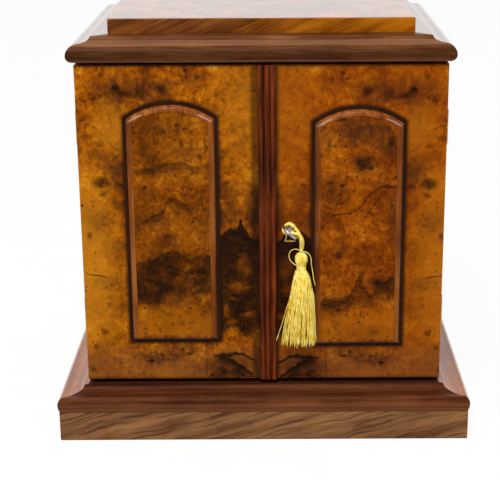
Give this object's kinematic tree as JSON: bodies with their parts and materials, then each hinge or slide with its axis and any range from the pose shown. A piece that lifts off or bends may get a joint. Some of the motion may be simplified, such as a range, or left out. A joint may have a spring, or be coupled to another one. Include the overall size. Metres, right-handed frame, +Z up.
{
  "type": "table-top collector cabinet with drawers",
  "caption": "Small table-top cabinet with two arched-panel doors, graduated drawers inside, moulded plinth and crown, and a lock with a tasselled key.",
  "frame": {"origin": "middle of the footprint on the table, at the underside of the plinth", "axes": "+Z up, -Y towards someone facing the doors, +X to their right"},
  "size_m": [0.3482, 0.2692, 0.3512],
  "materials": {
    "burr_walnut": "French-polished book-matched burr veneer",
    "walnut_moulding": "French-polished plain wood",
    "case_walnut": "French-polished veneer",
    "inner_wood": "waxed plain wood",
    "drawer_walnut": "polished veneer",
    "ebonised_wood": "polished black wood",
    "velvet": "cut velvet",
    "brass": "aged, lightly polished",
    "steel": "worn and slightly dulled",
    "tassel_silk": "lustrous twisted yarn"
  },
  "bodies": {
    "cabinet": {"plinth_front": "walnut_moulding", "plinth_left": "walnut_moulding", "plinth_right": "walnut_moulding", "plinth_back": "inner_wood", "base_moulding_front": "walnut_moulding", "base_moulding_left": "walnut_moulding", "base_moulding_right": "walnut_moulding", "bottom_board": "case_walnut", "left_side_panel": "case_walnut", "right_side_panel": "case_walnut", "back_panel": "inner_wood", "left_guide_board": "inner_wood", "right_guide_board": "inner_wood", "drawer_bearers": "inner_wood", "top_board": "case_walnut", "crown_moulding_front": "walnut_moulding", "crown_moulding_left": "walnut_moulding", "crown_moulding_right": "walnut_moulding", "cap_board": "walnut_moulding", "bolt_keeper": "brass", "case_hinge_leaves": "brass", "hinge_pins": "brass", "case_hinge_screws": "brass"},
    "left_door": {"left_door_board": "burr_walnut", "left_raised_panel": "burr_walnut", "left_panel_moulding": "walnut_moulding", "left_door_hinge_leaves": "brass", "left_door_screws": "brass", "strike_plate": "brass", "bolt_case": "brass"},
    "door_bolt": {"door_bolt": "brass"},
    "right_door": {"right_door_board": "burr_walnut", "right_raised_panel": "burr_walnut", "right_panel_moulding": "walnut_moulding", "closing_strip": "walnut_moulding", "keyhole_plate": "brass", "lock_case": "steel", "right_door_hinge_leaves": "brass", "right_door_screws": "brass"},
    "lock_bolt": {"lock_bolt": "brass"},
    "key": {"key": "steel"},
    "tassel": {"tassel_cord": "tassel_silk", "tassel_head": "tassel_silk", "tassel_skirt": "tassel_silk"},
    "drawer_1": {"drawer_1_front": "drawer_walnut", "drawer_1_box": "inner_wood", "drawer_1_lining": "velvet", "drawer_1_knobs": "ebonised_wood"},
    "drawer_2": {"drawer_2_front": "drawer_walnut", "drawer_2_box": "inner_wood", "drawer_2_lining": "velvet", "drawer_2_knobs": "ebonised_wood"},
    "drawer_3": {"drawer_3_front": "drawer_walnut", "drawer_3_box": "inner_wood", "drawer_3_lining": "velvet", "drawer_3_knobs": "ebonised_wood"},
    "drawer_4": {"drawer_4_front": "drawer_walnut", "drawer_4_box": "inner_wood", "drawer_4_lining": "velvet", "drawer_4_knobs": "ebonised_wood"}
  },
  "joints": [
    {"name": "right_door_hinge", "type": "hinge", "parent": "cabinet", "child": "right_door", "pos_m": [0.1506, -0.0943, 0.1824], "axis": [0, 0, 1], "range_deg": [0, 180]},
    {"name": "left_door_hinge", "type": "hinge", "parent": "cabinet", "child": "left_door", "pos_m": [-0.1506, -0.0943, 0.1824], "axis": [0, 0, -1], "range_deg": [0, 180]},
    {"name": "key_turn", "type": "hinge", "parent": "right_door", "child": "key", "pos_m": [0.02275, -0.11045, 0.1824], "axis": [0, -1, 0], "range_deg": [0, 180], "deforming": ["tassel_cord"]},
    {"name": "tassel_hang", "type": "hinge", "parent": "key", "child": "tassel", "pos_m": [0.01923, -0.12065, 0.18536], "axis": [0, -1, 0], "range_deg": [-180, 0]},
    {"name": "lock_bolt_slide", "type": "slide", "parent": "right_door", "child": "lock_bolt", "axis": [-1, 0, 0], "range_m": [0, 0.005]},
    {"name": "door_bolt_slide", "type": "slide", "parent": "left_door", "child": "door_bolt", "axis": [0, 0, 1], "range_m": [0, 0.007]},
    {"name": "drawer_1_slide", "type": "slide", "parent": "cabinet", "child": "drawer_1", "axis": [0, -1, 0], "range_m": [0, 0.132]},
    {"name": "drawer_2_slide", "type": "slide", "parent": "cabinet", "child": "drawer_2", "axis": [0, -1, 0], "range_m": [0, 0.132]},
    {"name": "drawer_3_slide", "type": "slide", "parent": "cabinet", "child": "drawer_3", "axis": [0, -1, 0], "range_m": [0, 0.132]},
    {"name": "drawer_4_slide", "type": "slide", "parent": "cabinet", "child": "drawer_4", "axis": [0, -1, 0], "range_m": [0, 0.132]}
  ],
  "couplings": [
    {"joint": "left_door_hinge", "follows": "right_door_hinge", "ratio": 1},
    {"joint": "tassel_hang", "follows": "key_turn", "ratio": -1},
    {"joint": "lock_bolt_slide", "follows": "key_turn", "m_per_rad": 0.00159},
    {"joint": "drawer_1_slide", "follows": "right_door_hinge", "m_per_rad": 0.042},
    {"joint": "drawer_2_slide", "follows": "right_door_hinge", "m_per_rad": 0.042},
    {"joint": "drawer_3_slide", "follows": "right_door_hinge", "m_per_rad": 0.042},
    {"joint": "drawer_4_slide", "follows": "right_door_hinge", "m_per_rad": 0.042}
  ]
}
